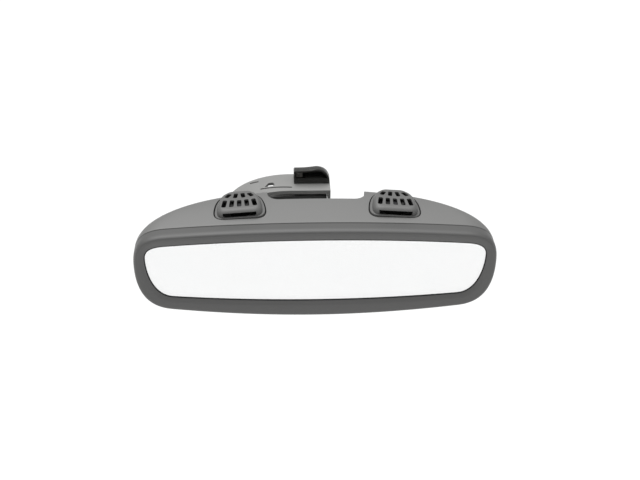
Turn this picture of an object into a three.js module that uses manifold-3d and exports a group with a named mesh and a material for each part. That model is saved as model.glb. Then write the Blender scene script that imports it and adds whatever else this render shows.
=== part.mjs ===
// Interior rearview mirror: a wide dimming glass in a grey bezel and housing with two microphone
// pods, hung by a ball joint on a curved hollow arm whose black foot slides onto a bracket.
// Units are millimetres, +Z is up, the glass looks along -Y and +X is the viewer's right.
// Sizes are given from the middle of the glass; the last lines move the origin to the foot.

import * as THREE from 'three';
import Module from 'manifold-3d';

const wasm = await Module();
wasm.setup();

// ---------------------------------------------------------------- driving dimensions
const GAP = 0.3; // clearance between pieces that touch
const WALL = 2.2; // moulded wall

// Right halves of the two outlines seen by the driver, from the top middle to the bottom middle.
const HEAD_OUTLINE = {
  top: 28.8,
  topEnd: [104, 25.3],
  topPull: 55,
  upperCorner: [[120, 24.2], [125.5, 17]],
  widest: [125.5, 4],
  lowerCorner: [[125.5, -16], [119, -30]],
  bottomEnd: [101, -32.3],
  bottomPull: 48,
  bottom: -38.6,
};
const WINDOW_OUTLINE = {
  top: 21.2,
  topEnd: [104, 17.8],
  topPull: 55,
  upperCorner: [[112, 17.2], [117.8, 15.2]],
  widest: [118, 8.5],
  lowerCorner: [[118, -1], [114, -21]],
  bottomEnd: [99, -22.2],
  bottomPull: 50,
  bottom: -26.2,
};
const CURVE_STEPS = 6; // straight steps in each curve of an outline

// The stack behind the bezel's lip, as front and back faces along Y.
const LIP_DEPTH = 1.2;
const PARTING_Y = 12; // where the bezel meets the housing
const FRONT_GLASS_Y = [1.5, 3.1];
const CELL_SEAL_Y = [3.3, 3.9];
const REAR_GLASS_Y = [4.1, 5.7];
const FOAM_Y = [6, 8.2];
const CARRIER_Y = [8.5, 10.5];
const BOARD_Y = [15, 16.6];
const GLASS_LAP = 2.4; // how far the glass runs behind the lip
const CELL_SHIFT = 1.1; // the two glasses are offset up and down for their contact strips
const BUSBAR = { halfLength: 44, thick: 0.5, offset: 1.35, narrow: 0.25, wide: 0.7 };

// Inside the head, in the plane of the glass.
const GLARE_SENSOR = { x: 34, z: -12 };
const SIGHT_RADIUS = 3.4; // the clear hole in front of the glare sensor
const AMBIENT_SENSOR = { x: 24, z: 8 };
const CARRIER_SCREWS = [[-84, 13], [84, 13], [-84, -14], [84, -14]];
const CARRIER_POST = { radius: 3.6, pilot: 1.5 };
const SCREW_HOLE = 1.6; // radius of the holes for the socket, foot and arm screws
const SOCKET_SCREW_ANGLES = [90, 210, 330].map(THREE.MathUtils.degToRad);
const BOARD = { width: 150, height: 40, z: -1, opening: 21.2 };

// Rear housing: sections shrink towards the back like a crescent seen from above.
const HOUSING_DEPTH = 44;
const HOUSING_STEPS = 8;
const HOUSING_END_ANGLE = THREE.MathUtils.degToRad(80);
const HOUSING_SIDE_POWER = 1;
const HOUSING_TOP_POWER = 0.16;
const HOUSING_RISE = 0.25; // how steeply the top climbs towards the back
const RECESS = { x: 1.8, halfWidth: 34.6, front: 39, floor: -21, corner: 8 };

// Microphone pods on the two wings.
const POD = { x: 54, y: 33.4, z: 32, height: 5.4, shoulder: 3.2, crown: 3.4 };
const POD_OUTLINE = {
  front: [10.5, -14.5],
  frontCorner: [[16, -14.5], [18.2, -12]],
  widest: [18, -7],
  side: [[17.6, 2], [15.2, 9.5]],
  backCorner: [11.5, 12.6],
  backPull: [9.6, 14.2],
  back: [6.5, 14.2],
};
const POD_TILT = THREE.MathUtils.degToRad(9);
const POD_LEAN = THREE.MathUtils.degToRad(4);
const POD_SKIRT = 4;
const POD_WALL = 1.6;
const POD_PORT_GAP = 0.35; // all round each pod where it sits in the wing
const SLOT_ROWS = [
  { count: 5, pitch: 5.2, width: 3.2, length: 8.6, y: -4.2, splay: 0.08 },
  { count: 4, pitch: 5.2, width: 3, length: 7, y: 7.2, splay: 0.26 },
];
const POD_MOUTH = { halfWidth: 11.6, depth: 4.8, height: 3.4 };

// Ball joint, centred behind the middle of the glass.
const BALL = new THREE.Vector3(0, 32, -6);
const BALL_RADIUS = 8;
const SEAT = { inner: 8.25, outer: 9.2, front: -4.5, back: 4.5 };
const SPRING = { inner: 9.4, outer: 10.2, front: -5, back: 5 };
const SOCKET = { inner: 10.5, outer: 13, flange: 20.5, flangeThick: 2.4 };
const SOCKET_SCREW_CIRCLE = 16.8;
const NECK_RADIUS = 4;
const TAIL_RADIUS = 3.4;
const TAIL_HOLE = 3.6; // radius of the hole for the stud's tail
const WIRE_BORE = 1.8;

// Arm: a C seen from behind, hollow towards the driver.
const ARM_FRONT = 70;
const ARM_BACK = ARM_FRONT + 22;
const ARM = { x: -16, z: 3.4, reach: 48, up: 26.6, down: 20.2, upperEnd: 13.4, lowerEnd: 10 };
const ARM_TOP = ARM.z + ARM.up;
const ARM_TAPER = 0.13; // the front outline is this much lower than the back one
const ARM_BAND = 13;
const ARM_RIM = 3.6;
const ARM_LIP = 3.2;
const ARM_LIP_DEPTH = 1.8;
const ARM_END_WALL = 1.8;
const CORE_Y = [ARM_FRONT + 4, ARM_BACK - 4];
const CORE_INSET = 7.6;
const SLIT_HALF_WIDTH = 0.7;
const LONG_SLIT = { halfLength: 11.5, x: -26, y: ARM_FRONT + 5.6, turn: -0.09 };
const SHORT_SLIT = { halfLength: 3.2, x: -42, y: ARM_FRONT + 18, turn: -0.2 };
const STUD_END = CORE_Y[1] + 3.7;
const NUT = { radius: 5.2, thick: 2.9 };
const FOOT_SCREWS = [[-8, ARM_FRONT + 14], [8, ARM_FRONT + 14]];
const LOWER_SCREW = [-14, ARM_FRONT + 11];

// Foot: a hood that is open towards the driver, where the bracket's tongue goes in.
const FOOT = {
  halfWidth: 13,
  front: ARM_FRONT + 9,
  back: ARM_FRONT + 19.5,
  floor: ARM_TOP + 2.2,
  top: ARM_TOP + 9.2,
  corner: 9.2,
  wall: 1.3,
};
const FOOT_RAKE = 0.15; // the roof falls towards the windscreen
const PAD = { x: [-4.5, 8.5], y: [FOOT.front + 1, FOOT.front + 8], height: 0.5 };
const SEAT_POINT = new THREE.Vector3(2, FOOT.front + 4.5, FOOT.floor + PAD.height);

// Colours and finishes.
const matte = (colour, roughness) => ({ color: colour, roughness, metalness: 0 });
const metal = (colour, roughness) => ({ color: colour, roughness, metalness: 1 });
const GREY_BEZEL = matte('#6c6c6b', 0.55);
const GREY_HOUSING = matte('#8f908d', 0.55);
const GREY_ARM = matte('#9a9b97', 0.5);
const GREY_GRILLE = matte('#7e7f7c', 0.6);
const BLACK_NYLON = matte('#22221f', 0.45);
const DARK_CAST = matte('#4b4b49', 0.6);
const WHITE_NYLON = matte('#d9d7cf', 0.5);
const RUBBER = matte('#191918', 0.85);
const FOAM = matte('#3a3a3c', 0.95);
const BOARD_GREEN = matte('#1f5a3a', 0.5);
const CLEAR_GLASS = matte('#dfe6e6', 0.05);
const MIRROR = metal('#e8ebec', 0.03);
const STEEL = metal('#b9bbbd', 0.35);
const SPRING_STEEL = metal('#8f9296', 0.3);
const DARK_LENS = matte('#23160f', 0.15);

// ---------------------------------------------------------------- helpers

// A closed solid from a geometry, ready for cutting and joining.
function solid(geometry) {
  const bare = geometry.clone();
  bare.deleteAttribute('normal');
  bare.deleteAttribute('uv');
  const welded = mergeClose(bare);
  const mesh = new wasm.Mesh({
    numProp: 3,
    vertProperties: new Float32Array(welded.attributes.position.array),
    triVerts: new Uint32Array(welded.index.array),
  });
  return new wasm.Manifold(mesh);
}

// Joins the vertices that lie on one another.
function mergeClose(geometry) {
  const source = geometry.index ? geometry.toNonIndexed() : geometry;
  const position = source.attributes.position;
  const places = new Map();
  const points = [];
  const corners = [];
  for (let i = 0; i < position.count; i += 1) {
    const point = [position.getX(i), position.getY(i), position.getZ(i)];
    const key = point.map((value) => Math.round(value * 1e4)).join(',');
    if (!places.has(key)) {
      places.set(key, places.size);
      points.push(...point);
    }
    corners.push(places.get(key));
  }
  const faces = [];
  for (let i = 0; i < corners.length; i += 3) {
    const [a, b, c] = corners.slice(i, i + 3);
    if (a !== b && b !== c && c !== a) faces.push(a, b, c);
  }
  const merged = new THREE.BufferGeometry();
  merged.setAttribute('position', new THREE.Float32BufferAttribute(points, 3));
  merged.setIndex(faces);
  return merged;
}

// A named mesh from a geometry or from a finished solid.
function piece(name, shape, finish) {
  let geometry = shape;
  if (shape instanceof wasm.Manifold) {
    const mesh = shape.getMesh();
    geometry = new THREE.BufferGeometry();
    geometry.setAttribute('position', new THREE.Float32BufferAttribute(mesh.vertProperties, 3));
    geometry.setIndex([...mesh.triVerts]);
  }
  geometry.computeVertexNormals();
  const result = new THREE.Mesh(geometry, new THREE.MeshStandardMaterial(finish));
  result.name = name;
  return result;
}

// Both halves of a mirrored outline as points, counter-clockwise when seen by the driver.
function outlinePoints(form) {
  const half = new THREE.Path();
  half.moveTo(0, form.top);
  half.quadraticCurveTo(form.topPull, form.top, ...form.topEnd);
  half.bezierCurveTo(...form.upperCorner[0], ...form.upperCorner[1], ...form.widest);
  half.bezierCurveTo(...form.lowerCorner[0], ...form.lowerCorner[1], ...form.bottomEnd);
  half.quadraticCurveTo(form.bottomPull, form.bottom, 0, form.bottom);
  const right = half.getPoints(CURVE_STEPS);
  const left = right.slice(1, -1).map((point) => new THREE.Vector2(-point.x, point.y));
  return [...right, ...left.reverse()].reverse();
}

// The same outline moved outwards, or inwards where the distance is negative.
function grown(points, distance) {
  return points.map((point, i) => {
    const before = points[(i + points.length - 1) % points.length];
    const after = points[(i + 1) % points.length];
    const along = new THREE.Vector2().subVectors(after, before).normalize();
    return new THREE.Vector2(point.x + along.y * distance, point.y - along.x * distance);
  });
}

// An outline in the X-Z plane given thickness from front to back along Y.
function slab(points, [front, back], options = {}) {
  const shape = points instanceof THREE.Shape ? points : new THREE.Shape(points);
  const settings = { depth: back - front, bevelEnabled: false, curveSegments: 10, ...options };
  const geometry = new THREE.ExtrudeGeometry(shape, settings);
  geometry.rotateX(Math.PI / 2);
  geometry.translate(0, back, 0);
  return geometry;
}

// An outline in the X-Y plane given height from bottom to top along Z.
function block(shape, [bottom, top], options = {}) {
  const settings = { depth: top - bottom, bevelEnabled: false, curveSegments: 6, ...options };
  const geometry = new THREE.ExtrudeGeometry(shape, settings);
  geometry.translate(0, 0, bottom);
  return geometry;
}

function box([x0, x1], [y0, y1], [z0, z1]) {
  const geometry = new THREE.BoxGeometry(x1 - x0, y1 - y0, z1 - z0);
  geometry.translate((x0 + x1) / 2, (y0 + y1) / 2, (z0 + z1) / 2);
  return geometry;
}

// A solid turned about the Y axis from [radius, y] pairs, up the outside and down the inside.
function turned(profile, segments = 24) {
  const points = profile.map(([radius, y]) => new THREE.Vector2(radius, y));
  return new THREE.LatheGeometry(points, segments);
}

// A round bar along Y.
function bar(radius, [front, back], x = 0, z = 0, segments = 14) {
  const profile = [[0, front], [radius, front], [radius, back], [0, back]];
  return turned(profile, segments).translate(x, 0, z);
}

function roundedRect(width, length, radius) {
  const x = width / 2;
  const y = length / 2;
  const shape = new THREE.Shape();
  shape.moveTo(-x + radius, -y);
  shape.lineTo(x - radius, -y);
  shape.absarc(x - radius, -y + radius, radius, -Math.PI / 2, 0);
  shape.lineTo(x, y - radius);
  shape.absarc(x - radius, y - radius, radius, 0, Math.PI / 2);
  shape.lineTo(-x + radius, y);
  shape.absarc(-x + radius, y - radius, radius, Math.PI / 2, Math.PI);
  shape.lineTo(-x, -y + radius);
  shape.absarc(-x + radius, -y + radius, radius, Math.PI, Math.PI * 1.5);
  return shape;
}

// A screw along Y whose head faces the driver, with a cross cut in the head.
function screw({ headRadius, headHeight, shankRadius, length, countersunk = false }) {
  const rim = countersunk ? 0.4 : headHeight;
  const profile = [[0, 0], [headRadius, 0], [headRadius, rim], [shankRadius, headHeight]];
  profile.push([shankRadius, headHeight + length], [0, headHeight + length]);
  const reach = headRadius * 0.65;
  const slotA = box([-reach, reach], [-1, headHeight * 0.6], [-0.35, 0.35]);
  const slotB = box([-0.35, 0.35], [-1, headHeight * 0.6], [-reach, reach]);
  return solid(turned(profile, 10)).subtract(solid(slotA)).subtract(solid(slotB));
}

const headPoints = outlinePoints(HEAD_OUTLINE);
const windowPoints = outlinePoints(WINDOW_OUTLINE);

// ---------------------------------------------------------------- bezel and glass

// The grey front frame: a rolled lip round the window and a tongue that enters the housing.
function frontBezel() {
  const roll = { bevelEnabled: true, bevelThickness: 5, bevelSize: 2.4, bevelOffset: -2.4 };
  const rounded = slab(headPoints, [5, PARTING_Y + 5], { ...roll, bevelSegments: 3 });
  const behind = box([-140, 140], [PARTING_Y, 40], [-60, 60]);
  const skin = solid(rounded).subtract(solid(behind));
  const tongue = slab(grown(headPoints, -WALL - 1.4), [PARTING_Y - 3, PARTING_Y + 2.2]);
  const inside = slab(grown(headPoints, -WALL - 2.3), [LIP_DEPTH, PARTING_Y + 3]);
  const window = slab(windowPoints, [-1, LIP_DEPTH + 1]);
  return skin.add(solid(tongue)).subtract(solid(inside)).subtract(solid(window));
}

function glassPane([front, back], shift) {
  const pane = slab(grown(windowPoints, GLASS_LAP - CELL_SHIFT), [front, back]);
  return pane.translate(0, 0, shift);
}

// The thin bead that holds the dimming gel between the two glasses.
function cellSeal() {
  const outer = slab(grown(windowPoints, -0.4), CELL_SEAL_Y);
  const inner = slab(grown(windowPoints, -1.8), [CELL_SEAL_Y[0] - 1, CELL_SEAL_Y[1] + 1]);
  return solid(outer).subtract(solid(inner));
}

// A springy strip along one long edge that feeds current to one glass.
function busbar(side) {
  const edge = side > 0 ? WINDOW_OUTLINE.top : WINDOW_OUTLINE.bottom;
  const { halfLength, thick, offset, narrow, wide } = BUSBAR;
  const z = edge + side * offset;
  const behind = REAR_GLASS_Y[1] + GAP;
  const height = side > 0 ? [z - wide, z + narrow] : [z - narrow, z + wide];
  const strip = box([-halfLength, halfLength], [behind, behind + thick], height);
  const tab = box([-2.5, 2.5], [behind, CARRIER_Y[1]], [z - narrow, z + narrow]);
  return solid(strip).add(solid(tab));
}

function foamPad() {
  const pad = slab(grown(windowPoints, -3.4), FOAM_Y);
  const through = [FOAM_Y[0] - 1, FOAM_Y[1] + 1];
  const sight = bar(SIGHT_RADIUS, through, GLARE_SENSOR.x, GLARE_SENSOR.z);
  return solid(pad).subtract(solid(sight));
}

// ---------------------------------------------------------------- inside the head

function socketScrewSpots() {
  return SOCKET_SCREW_ANGLES.map((angle) => [
    BALL.x + SOCKET_SCREW_CIRCLE * Math.cos(angle),
    BALL.z + SOCKET_SCREW_CIRCLE * Math.sin(angle),
  ]);
}

// The stiff plate that carries the glass in front and the ball socket and board behind.
function carrierPlate() {
  let plate = solid(slab(grown(windowPoints, 0.6), CARRIER_Y));
  const through = [CARRIER_Y[0] - 1, CARRIER_Y[1] + 1];
  for (const side of [-1, 1]) {
    for (const x of [44, 66]) {
      plate = plate.add(solid(bar(2.6, [CARRIER_Y[1] - 0.5, BOARD_Y[0] - GAP], side * x, BOARD.z)));
    }
    const rib = box([side * 55 - 36, side * 55 + 36], [CARRIER_Y[1] - 0.5, 12.6], [-0.8, 0.8]);
    plate = plate.add(solid(rib.translate(side * 6, 0, 17.4)));
  }
  for (const [x, z] of CARRIER_SCREWS) {
    const sink = turned([[0, 0], [3, 0], [3, 0.5], [1.7, 1.9], [1.7, 5], [0, 5]], 16);
    plate = plate.subtract(solid(sink.translate(x, CARRIER_Y[0] - 0.1, z)));
  }
  for (const [x, z] of socketScrewSpots()) {
    plate = plate.subtract(solid(bar(SCREW_HOLE, through, x, z, 14)));
  }
  const sight = bar(SIGHT_RADIUS, through, GLARE_SENSOR.x, GLARE_SENSOR.z);
  const wireHole = bar(4, through, BALL.x, BALL.z);
  return plate.subtract(solid(sight)).subtract(solid(wireHole));
}

// The circuit board, open in the middle round the ball socket.
function circuitBoard() {
  const sheet = slab(roundedRect(BOARD.width, BOARD.height, 3), BOARD_Y).translate(0, 0, BOARD.z);
  const opening = bar(BOARD.opening, [BOARD_Y[0] - 1, BOARD_Y[1] + 1], 0, BALL.z, 36);
  let board = solid(sheet).subtract(solid(opening));
  for (const x of [-60, -50, 52, 62]) {
    board = board.add(solid(box([x - 3, x + 3], [BOARD_Y[1] - 0.2, BOARD_Y[1] + 1.6], [-3, 3])));
  }
  return board;
}

function boardConnector() {
  const [front, back] = [CARRIER_Y[1] + GAP, BOARD_Y[0] - GAP];
  const body = box([-44, -30], [front, back], [-17, -10]);
  const mouth = box([-36, -29], [front + 0.8, back - 0.8], [-16, -11]);
  return solid(body).subtract(solid(mouth));
}

// A small domed light sensor that looks out through the glass.
function glareSensor() {
  const front = FOAM_Y[0] + 0.2;
  const back = BOARD_Y[0] - GAP;
  const profile = [[0, front], [1.7, front + 0.5], [2.6, front + 1.6], [2.6, back], [0, back]];
  return turned(profile, 20).translate(GLARE_SENSOR.x, 0, GLARE_SENSOR.z);
}

// Its partner on the back of the board measures the light ahead of the car.
function ambientSensor() {
  const front = BOARD_Y[1] + GAP;
  const profile = [[0, front], [2.6, front], [2.6, front + 2], [1.7, front + 3], [0, front + 3.4]];
  return turned(profile, 20).translate(AMBIENT_SENSOR.x, 0, AMBIENT_SENSOR.z);
}

function ambientLightPipe() {
  const span = [BOARD_Y[1] + 4.2, RECESS.front - WALL - 0.8];
  return bar(2, span, AMBIENT_SENSOR.x, AMBIENT_SENSOR.z);
}

function ambientLens() {
  const wall = RECESS.front;
  const profile = [[0, wall - 2.6], [3.4, wall - 2.6], [3.4, wall + GAP], [4.6, wall + GAP]];
  profile.push([4.4, wall + 1.3], [2.2, wall + 2.1], [0, wall + 2.3]);
  return turned(profile, 24).translate(AMBIENT_SENSOR.x, 0, AMBIENT_SENSOR.z);
}

// A round bundle of wires along a smooth route.
function wires(route, radius, steps) {
  const path = new THREE.CatmullRomCurve3(route.map((point) => new THREE.Vector3(...point)));
  const section = new THREE.Shape().absarc(0, 0, radius, 0, Math.PI * 2);
  return new THREE.ExtrudeGeometry(section, { extrudePath: path, steps, curveSegments: 3 });
}

// The wires from the ball's bore, through a slot in the socket's flange, to the board.
function headWires() {
  const route = [[0, 21.5, -6], [0, 15.5, -6], [-4.5, 12.3, -6], [-14, 12.1, -6], [-23, 12.4, -6.6]];
  route.push([-28, 12.7, -11], [-33, 12.8, -13.4]);
  return wires(route, 1.1, 16);
}

// ---------------------------------------------------------------- rear housing and pods

// Carries an outline back through shrinking sections, from the parting line to the rear.
function crescent(points, front, depth) {
  const geometry = slab(points, [0, 1], { steps: HOUSING_STEPS });
  const position = geometry.attributes.position;
  for (let i = 0; i < position.count; i += 1) {
    const angle = position.getY(i) * HOUSING_END_ANGLE;
    const along = (depth * Math.sin(angle)) / Math.sin(HOUSING_END_ANGLE);
    const narrow = Math.cos(angle) ** HOUSING_SIDE_POWER;
    const lower = Math.cos(angle) ** HOUSING_TOP_POWER;
    const rise = HOUSING_RISE * (front + along - PARTING_Y);
    position.setXYZ(i, position.getX(i) * narrow, front + along, position.getZ(i) * lower + rise);
  }
  return geometry;
}

// The notch in the back of the head where the arm's ball stud goes in.
function recessBlock(outset) {
  const { x, halfWidth, front, floor, corner } = RECESS;
  const shape = roundedRect(2 * (halfWidth + outset), 60, corner + outset);
  return block(shape, [floor - outset, 70]).translate(x, front - outset + 30, 0);
}

// A solid in a pod's own axes, set on the left (-1) or right (+1) wing.
function onWing(side, manifold) {
  const turn = new THREE.Euler(POD_TILT, side * POD_LEAN, 0, 'YXZ');
  const place = new THREE.Matrix4().makeRotationFromEuler(turn);
  place.setPosition(RECESS.x + side * POD.x, POD.y, POD.z);
  return manifold.transform(place.toArray());
}

// A pod's outline seen from above: broad at the front and narrower at the back.
function podPoints() {
  const half = new THREE.Path();
  half.moveTo(...POD_OUTLINE.front);
  half.bezierCurveTo(...POD_OUTLINE.frontCorner.flat(), ...POD_OUTLINE.widest);
  half.bezierCurveTo(...POD_OUTLINE.side.flat(), ...POD_OUTLINE.backCorner);
  half.quadraticCurveTo(...POD_OUTLINE.backPull, ...POD_OUTLINE.back);
  const right = half.getPoints(4);
  const left = right.map((point) => new THREE.Vector2(-point.x, point.y));
  return [...right, ...left.reverse()];
}

function podPrism(outset) {
  const shape = new THREE.Shape(grown(podPoints(), outset));
  return solid(block(shape, [-POD_SKIRT - 1.2, 14]));
}

function rearHousing() {
  const outer = solid(crescent(headPoints, PARTING_Y + GAP, HOUSING_DEPTH));
  const inner = solid(crescent(grown(headPoints, -WALL), PARTING_Y - 1, HOUSING_DEPTH - WALL + 1));
  const cavity = inner.subtract(solid(recessBlock(WALL)));
  let housing = outer.subtract(solid(recessBlock(0))).subtract(cavity);
  for (const [x, z] of CARRIER_SCREWS) {
    const { radius, pilot } = CARRIER_POST;
    const screwPost = solid(bar(radius, [CARRIER_Y[1] + GAP, 60], x, z, 16)).intersect(outer);
    const front = solid(bar(radius, [CARRIER_Y[1] + GAP, PARTING_Y + 1], x, z, 16));
    const hole = solid(bar(pilot, [0, CARRIER_Y[1] + 9], x, z, 12));
    housing = housing.add(screwPost).add(front).subtract(hole);
  }
  for (const side of [-1, 1]) {
    housing = housing.subtract(onWing(side, podPrism(POD_PORT_GAP)));
  }
  const mouth = bar(SOCKET.outer + 0.6, [BALL.y, RECESS.front + 1], BALL.x, BALL.z, 32);
  const eye = bar(3.8, [30, 60], AMBIENT_SENSOR.x, AMBIENT_SENSOR.z, 24);
  return housing.subtract(solid(mouth)).subtract(solid(eye));
}

// One row of grille slots as cutters in the pod's own axes; their back ends lean together.
function slotRow({ count, pitch, width, length, y, splay }) {
  const cutters = [];
  for (let i = 0; i < count; i += 1) {
    const offset = i - (count - 1) / 2;
    const slot = block(roundedRect(width, length, width * 0.3), [0.5, 12], { curveSegments: 1 });
    slot.rotateZ(offset * splay);
    slot.translate(offset * pitch, y, 0);
    cutters.push(solid(slot));
  }
  return cutters;
}

// A pod's rounded body, drawn in by a wall thickness where it is the hollow inside.
function podBody(inset) {
  const crown = POD.crown - inset / 3;
  const shoulder = POD.shoulder - inset;
  const roll = {
    bevelEnabled: true,
    bevelThickness: crown,
    bevelSize: shoulder,
    bevelOffset: -shoulder,
    bevelSegments: inset ? 1 : 3,
  };
  const shape = new THREE.Shape(grown(podPoints(), -inset));
  return solid(block(shape, [-9 - inset, POD.height - inset - crown], roll));
}

// A domed grille: two rows of slots on top and one wide mouth at the front.
function micGrille(side) {
  const below = solid(box([-30, 30], [-30, 30], [-20, -POD_SKIRT]));
  let grille = podBody(0).subtract(podBody(POD_WALL)).subtract(below);
  for (const cutter of SLOT_ROWS.flatMap(slotRow)) {
    grille = grille.subtract(cutter);
  }
  const { halfWidth, depth, height } = POD_MOUTH;
  const mouth = box([-halfWidth, halfWidth], [-20, POD_OUTLINE.front[1] + depth], [0, height]);
  return onWing(side, grille.subtract(solid(mouth)));
}

function micBoot(side) {
  const profile = [[3.2, -5], [7.4, -5], [7.4, 2.6], [5.2, 2.6], [5.2, -1.2], [3.2, -1.2], [3.2, -5]];
  return onWing(side, solid(turned(profile, 24).rotateX(Math.PI / 2)));
}

function micCapsule(side) {
  const profile = [[0, -0.9], [4.8, -0.9], [4.8, 2], [3.9, 2.4], [0, 2.4]];
  return onWing(side, solid(turned(profile, 24).rotateX(Math.PI / 2)));
}

// ---------------------------------------------------------------- ball joint

// Points of a spherical wall between two planes, outside up and inside down.
function sphereBand({ inner, outer, front, back }, steps = 4) {
  const profile = [];
  for (const radius of [outer, inner]) {
    const from = Math.asin(front / radius);
    const to = Math.asin(back / radius);
    for (let i = 0; i <= steps; i += 1) {
      const t = radius === outer ? i / steps : 1 - i / steps;
      const angle = from + (to - from) * t;
      profile.push([radius * Math.cos(angle), radius * Math.sin(angle)]);
    }
  }
  profile.push(profile[0]);
  return profile;
}

function ballSeat() {
  return turned(sphereBand(SEAT), 20);
}

function springShell() {
  const ring = solid(turned(sphereBand(SPRING), 20));
  return ring.subtract(solid(box([-0.8, 0.8], [-8, 8], [5, 12])));
}

// The cup that grips the ball, with a round flange that screws to the carrier plate.
function ballSocket() {
  const flangeFront = CARRIER_Y[1] + GAP - BALL.y;
  const flangeBack = flangeFront + SOCKET.flangeThick;
  const hollow = [];
  for (let i = 0; i <= 6; i += 1) {
    const angle = (i / 6) * (Math.PI / 2 - 0.4);
    hollow.push([SOCKET.inner * Math.cos(angle), -SOCKET.inner * Math.sin(angle)]);
  }
  const wireHole = hollow[hollow.length - 1][0];
  const profile = [
    [wireHole, flangeFront],
    [SOCKET.flange, flangeFront],
    [SOCKET.flange, flangeBack],
    [SOCKET.outer - 0.5, flangeBack],
    [SOCKET.outer - 0.5, -9],
    [SOCKET.outer, -7],
    [SOCKET.outer, 4],
    [SOCKET.inner, 4],
    ...hollow,
    [wireHole, flangeFront],
  ];
  let cup = solid(turned(profile, 24).translate(BALL.x, BALL.y, BALL.z));
  for (const [x, z] of socketScrewSpots()) {
    cup = cup.subtract(solid(bar(SCREW_HOLE, [0, BALL.y + flangeBack + 1], x, z, 14)));
  }
  const wireSlot = box([-22, 0], [CARRIER_Y[1], 13.7], [BALL.z - 1.7, BALL.z + 1.7]);
  return cup.subtract(solid(wireSlot));
}

function retainingRing() {
  const outer = SOCKET.outer;
  const profile = [[8.8, 6.1], [9.9, 4.3], [outer, 4.3], [outer, 7.6], [9.6, 7.6], [8.8, 6.1]];
  return turned(profile, 24);
}

// The ball, its neck and the threaded tail, bored through for the wires.
function ballStud() {
  const profile = [];
  const start = Math.acos(WIRE_BORE / BALL_RADIUS);
  const end = Math.acos(NECK_RADIUS / BALL_RADIUS);
  for (let i = 0; i <= 8; i += 1) {
    const angle = -start + ((start + end) * i) / 8;
    profile.push([BALL_RADIUS * Math.cos(angle), BALL_RADIUS * Math.sin(angle)]);
  }
  const shoulder = CORE_Y[0] - GAP - BALL.y;
  profile.push([NECK_RADIUS, 24], [4.5, 28], [4.5, shoulder], [TAIL_RADIUS, shoulder]);
  profile.push([TAIL_RADIUS, STUD_END - BALL.y], [WIRE_BORE, STUD_END - BALL.y]);
  profile.push(profile[0]);
  return turned(profile, 18);
}

// ---------------------------------------------------------------- arm

// The arm's outline as a curve, set inwards from the outer face.
function armCurve(inset, steps = 9) {
  const { x, z, reach, up, down, upperEnd, lowerEnd } = ARM;
  const points = [new THREE.Vector2(upperEnd, z + up - inset)];
  for (let i = 0; i <= 2 * steps; i += 1) {
    const angle = Math.PI / 2 + (Math.PI * i) / (2 * steps);
    const height = i < steps ? up - inset : down - inset;
    const across = (reach - inset) * Math.cos(angle);
    points.push(new THREE.Vector2(x + across, z + height * Math.sin(angle)));
  }
  points.push(new THREE.Vector2(lowerEnd, z - down + inset));
  return points;
}

// The band between two insets of that curve.
function armBand(outerInset, innerInset, endInset = 0) {
  const trim = (point) => new THREE.Vector2(Math.min(point.x, ARM.upperEnd - endInset), point.y);
  const outer = armCurve(outerInset).map(trim);
  const inner = armCurve(innerInset).map(trim).reverse();
  return [...outer, ...inner];
}

// Lowers the front of an arm solid, as the draft of the moulding does.
function drafted(geometry) {
  const position = geometry.attributes.position;
  for (let i = 0; i < position.count; i += 1) {
    const ahead = (ARM_BACK - position.getY(i)) / (ARM_BACK - ARM_FRONT);
    const height = (position.getZ(i) - ARM.z) * (1 - ARM_TAPER * ahead);
    position.setZ(i, ARM.z + height);
  }
  return geometry;
}

// Everything inside one inset of the arm's curve, from its curve across to the open side.
function armCavity(inset, span) {
  const points = armCurve(inset).map((point) => {
    const end = point.y > ARM.z ? ARM.upperEnd : ARM.lowerEnd;
    return new THREE.Vector2(Math.min(point.x, end - ARM_END_WALL), point.y);
  });
  points.push(new THREE.Vector2(ARM.lowerEnd - ARM_END_WALL, ARM.z));
  points.push(new THREE.Vector2(ARM.upperEnd - ARM_END_WALL, ARM.z));
  return solid(drafted(slab(points, span)));
}

// A straight slit cut down through the top of the arm.
function slitCutter({ halfLength, x, y, turn }, down) {
  const cut = box([-halfLength, halfLength], [-SLIT_HALF_WIDTH, SLIT_HALF_WIDTH], down);
  return cut.rotateZ(turn).translate(x, y, 0);
}

// The two slits for the snap hooks and the wedge-shaped window.
function armTopCutters() {
  const down = [ARM.z + 12, ARM_TOP + 8];
  const slits = [LONG_SLIT, SHORT_SLIT].map((slit) => slitCutter(slit, down));
  const window = new THREE.Shape();
  window.moveTo(-34.5, 8.2);
  window.lineTo(-27.5, 7.8);
  window.quadraticCurveTo(-26.6, 10.3, -28.5, 12.4);
  window.lineTo(-31.5, 12.6);
  window.closePath();
  return [...slits, block(window, down).translate(0, ARM_FRONT, 0)].map(solid);
}

// The grey shell: a curved top wall with a rolled front lip, end walls and a rim at the back.
function armShell() {
  const lipBack = ARM_FRONT + ARM_LIP_DEPTH;
  const wallBack = ARM_BACK - WALL;
  let shell = solid(drafted(slab(armBand(0, ARM_BAND), [ARM_FRONT, ARM_BACK])));
  shell = shell.subtract(armCavity(ARM_LIP, [ARM_FRONT - 1, lipBack]));
  shell = shell.subtract(armCavity(WALL, [lipBack - 0.1, wallBack]));
  shell = shell.subtract(armCavity(ARM_RIM, [wallBack - 0.1, ARM_BACK + 1]));
  for (const cutter of armTopCutters()) {
    shell = shell.subtract(cutter);
  }
  for (const spot of FOOT_SCREWS) {
    shell = shell.subtract(solid(post(spot, SCREW_HOLE, [ARM.z, ARM_TOP])));
  }
  return shell.subtract(solid(post(LOWER_SCREW, SCREW_HOLE, [-30, ARM.z])));
}

// A round bar along Z.
function post([x, y], radius, [bottom, top], segments = 12) {
  const geometry = new THREE.CylinderGeometry(radius, radius, top - bottom, segments);
  return geometry.rotateX(Math.PI / 2).translate(x, y, (top + bottom) / 2);
}

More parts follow.
